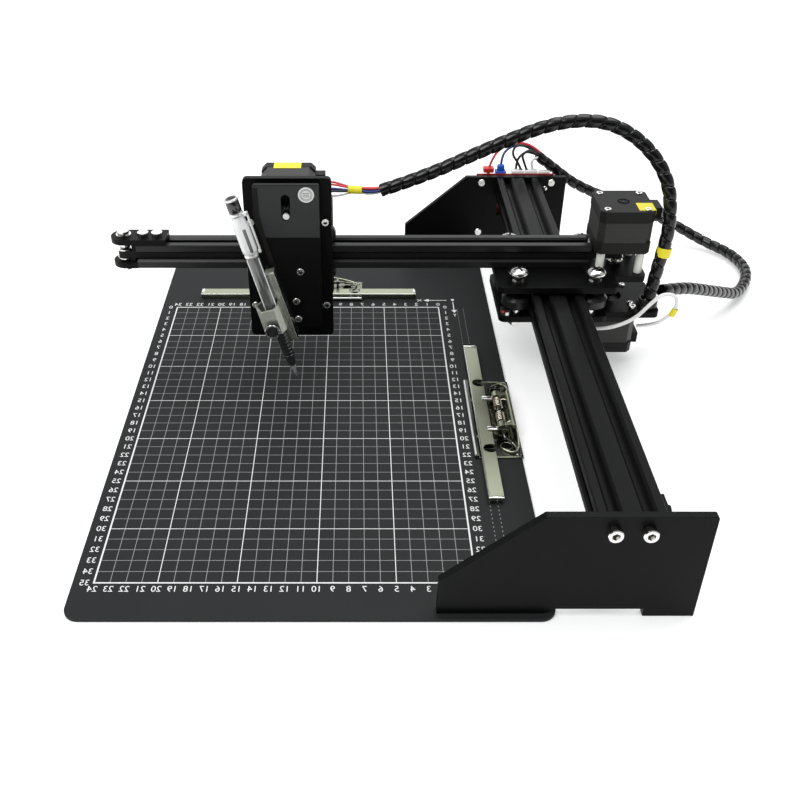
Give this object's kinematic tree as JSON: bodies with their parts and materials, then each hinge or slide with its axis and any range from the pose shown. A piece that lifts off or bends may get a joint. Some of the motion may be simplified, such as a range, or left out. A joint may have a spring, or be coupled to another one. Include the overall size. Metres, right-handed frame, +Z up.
{
  "type": "pen plotter",
  "caption": "Two-axis cantilever drawing machine: a belt-driven arm on a side rail carries a pen lifter over a printed mat with two paper clips.",
  "frame": {"origin": "middle of the underside of the mat, on the table", "axes": "+X along the arm towards the rail, +Y along the rail away from the operator, +Z up"},
  "size_m": [0.5779, 0.5262, 0.2058],
  "materials": {
    "mat_print": "dark satin vinyl with white printed grid",
    "black_plate": "satin black coated plate",
    "black_profile": "black anodised extrusion",
    "bright_steel": "polished zinc screws",
    "clip_nickel": "bright nickel plate",
    "holder_silver": "plain brushed metal",
    "belt_rubber": "black toothed belt",
    "motor_black": "satin black motor housing",
    "wheel_black": "black moulded wheel",
    "nylon_white": "translucent white nylon",
    "board_red": "red circuit board",
    "board_plastic": "moulded connector",
    "sleeve_black": "black spiral wrap",
    "lead_white": "white insulated lead",
    "pen_plastic": "clear and white pen barrel"
  },
  "bodies": {
    "base": {"drawing_mat": "mat_print", "front_end_plate": "black_plate", "rear_end_plate": "black_plate", "y_rail": "black_profile", "rail_bolts": "bright_steel", "y_belt": "belt_rubber", "y_belt_clamps": "black_plate", "control_board": "board_red", "board_mounts": "bright_steel", "board_parts": "board_plastic", "side_clip_base": "clip_nickel", "far_clip_base": "clip_nickel"},
    "gantry": {"gantry_top_plate": "black_plate", "gantry_bottom_plate": "black_plate", "gantry_spacers": "bright_steel", "gantry_bolts": "bright_steel", "x_arm": "black_profile", "idler_bracket": "black_plate", "bracket_screws": "bright_steel", "x_belt": "belt_rubber", "y_drive_belt": "belt_rubber", "x_motor": "motor_black", "y_motor": "motor_black", "motor_standoffs": "nylon_white", "cable_clamp": "board_plastic", "limit_switch": "board_plastic", "head_harness": "sleeve_black", "gantry_harness": "sleeve_black", "switch_lead": "lead_white"},
    "head": {"head_plate": "black_plate", "head_rear_plate": "black_plate", "head_spacers": "bright_steel", "head_screws": "bright_steel", "z_motor": "motor_black", "guide_rail": "bright_steel"},
    "lifter": {"lift_plate": "black_plate", "guide_block": "bright_steel", "rack": "wheel_black", "lift_screws": "bright_steel", "pen_channel": "holder_silver", "pen_clamp": "holder_silver", "pen": "pen_plastic"},
    "thumbscrew": {"thumbscrew": "wheel_black"},
    "side_clip_jaw": {"side_clip_jaw": "clip_nickel"},
    "far_clip_jaw": {"far_clip_jaw": "clip_nickel"},
    "x_pulley": {"x_pulley": "bright_steel"},
    "x_idler": {"x_idler": "bright_steel"},
    "y_pulley": {"y_pulley": "bright_steel"},
    "y_idler_front": {"y_idler_front": "bright_steel"},
    "y_idler_rear": {"y_idler_rear": "bright_steel"},
    "z_pinion": {"z_pinion": "wheel_black"},
    "y_wheel_1": {"y_wheel_1": "wheel_black"},
    "x_wheel_1": {"x_wheel_1": "wheel_black"},
    "y_wheel_2": {"y_wheel_2": "wheel_black"},
    "x_wheel_2": {"x_wheel_2": "wheel_black"},
    "y_wheel_3": {"y_wheel_3": "wheel_black"},
    "x_wheel_3": {"x_wheel_3": "wheel_black"},
    "y_wheel_4": {"y_wheel_4": "wheel_black"},
    "x_wheel_4": {"x_wheel_4": "wheel_black"}
  },
  "joints": [
    {"name": "y_travel", "type": "slide", "parent": "base", "child": "gantry", "axis": [0, 1, 0], "range_m": [-0.228, 0.122], "deforming": ["gantry_harness"]},
    {"name": "x_travel", "type": "slide", "parent": "gantry", "child": "head", "axis": [1, 0, 0], "range_m": [-0.06, 0.12], "deforming": ["head_harness"]},
    {"name": "z_lift", "type": "slide", "parent": "head", "child": "lifter", "axis": [0, 0, 1], "range_m": [-0.0078, 0]},
    {"name": "thumbscrew_turn", "type": "hinge", "parent": "lifter", "child": "thumbscrew", "pos_m": [-0.03611, -0.012, 0.06053], "axis": [0, 1, 0], "range_deg": [-180, 180]},
    {"name": "side_clip_open", "type": "hinge", "parent": "base", "child": "side_clip_jaw", "pos_m": [0.138, -0.049, 0.0095], "axis": [0, 1, 0], "range_deg": [0, 25], "stiffness_Nm_per_rad": 0.4, "springref_deg": -22.92},
    {"name": "far_clip_open", "type": "hinge", "parent": "base", "child": "far_clip_jaw", "pos_m": [-0.0164, 0.16, 0.0095], "axis": [-1, 0, 0], "range_deg": [0, 25], "stiffness_Nm_per_rad": 0.4, "springref_deg": -22.92},
    {"name": "y_wheel_1_roll", "type": "hinge", "parent": "gantry", "child": "y_wheel_1", "pos_m": [0.155, 0.02, 0.069], "axis": [0, 0, 1], "continuous": true},
    {"name": "y_wheel_2_roll", "type": "hinge", "parent": "gantry", "child": "y_wheel_2", "pos_m": [0.155, 0.08, 0.069], "axis": [0, 0, 1], "continuous": true},
    {"name": "y_wheel_3_roll", "type": "hinge", "parent": "gantry", "child": "y_wheel_3", "pos_m": [0.215, 0.02, 0.069], "axis": [0, 0, 1], "continuous": true},
    {"name": "y_wheel_4_roll", "type": "hinge", "parent": "gantry", "child": "y_wheel_4", "pos_m": [0.215, 0.08, 0.069], "axis": [0, 0, 1], "continuous": true},
    {"name": "x_wheel_1_roll", "type": "hinge", "parent": "head", "child": "x_wheel_1", "pos_m": [-0.0525, 0.05, 0.08], "axis": [0, 1, 0], "continuous": true},
    {"name": "x_wheel_2_roll", "type": "hinge", "parent": "head", "child": "x_wheel_2", "pos_m": [-0.0525, 0.05, 0.112], "axis": [0, 1, 0], "continuous": true},
    {"name": "x_wheel_3_roll", "type": "hinge", "parent": "head", "child": "x_wheel_3", "pos_m": [0.0045, 0.05, 0.08], "axis": [0, 1, 0], "continuous": true},
    {"name": "x_wheel_4_roll", "type": "hinge", "parent": "head", "child": "x_wheel_4", "pos_m": [0.0045, 0.05, 0.112], "axis": [0, 1, 0], "continuous": true},
    {"name": "x_pulley_turn", "type": "hinge", "parent": "gantry", "child": "x_pulley", "pos_m": [0.236, 0.05, 0.096], "axis": [0, 0, 1], "continuous": true},
    {"name": "x_idler_turn", "type": "hinge", "parent": "gantry", "child": "x_idler", "pos_m": [-0.1565, 0.05, 0.096], "axis": [0, 0, 1], "continuous": true},
    {"name": "y_pulley_turn", "type": "hinge", "parent": "gantry", "child": "y_pulley", "pos_m": [0.235, 0.05, 0.069], "axis": [0, 0, 1], "continuous": true},
    {"name": "y_idler_front_turn", "type": "hinge", "parent": "gantry", "child": "y_idler_front", "pos_m": [0.212, 0.0405, 0.069], "axis": [0, 0, 1], "continuous": true},
    {"name": "y_idler_rear_turn", "type": "hinge", "parent": "gantry", "child": "y_idler_rear", "pos_m": [0.212, 0.0595, 0.069], "axis": [0, 0, 1], "continuous": true},
    {"name": "z_pinion_turn", "type": "hinge", "parent": "head", "child": "z_pinion", "pos_m": [-0.0245, 0.024, 0.14], "axis": [0, 1, 0], "continuous": true}
  ],
  "couplings": [
    {"joint": "y_wheel_1_roll", "follows": "y_travel", "rad_per_m": -100},
    {"joint": "y_wheel_2_roll", "follows": "y_travel", "rad_per_m": -100},
    {"joint": "y_wheel_3_roll", "follows": "y_travel", "rad_per_m": 100},
    {"joint": "y_wheel_4_roll", "follows": "y_travel", "rad_per_m": 100},
    {"joint": "x_wheel_1_roll", "follows": "x_travel", "rad_per_m": -166.67},
    {"joint": "x_wheel_2_roll", "follows": "x_travel", "rad_per_m": 166.67},
    {"joint": "x_wheel_3_roll", "follows": "x_travel", "rad_per_m": -166.67},
    {"joint": "x_wheel_4_roll", "follows": "x_travel", "rad_per_m": 166.67},
    {"joint": "x_pulley_turn", "follows": "x_travel", "rad_per_m": 196.08},
    {"joint": "x_idler_turn", "follows": "x_travel", "rad_per_m": 196.08},
    {"joint": "y_pulley_turn", "follows": "y_travel", "rad_per_m": -196.08},
    {"joint": "y_idler_front_turn", "follows": "y_travel", "rad_per_m": 196.08},
    {"joint": "y_idler_rear_turn", "follows": "y_travel", "rad_per_m": 196.08},
    {"joint": "z_pinion_turn", "follows": "z_lift", "rad_per_m": -166.67}
  ]
}
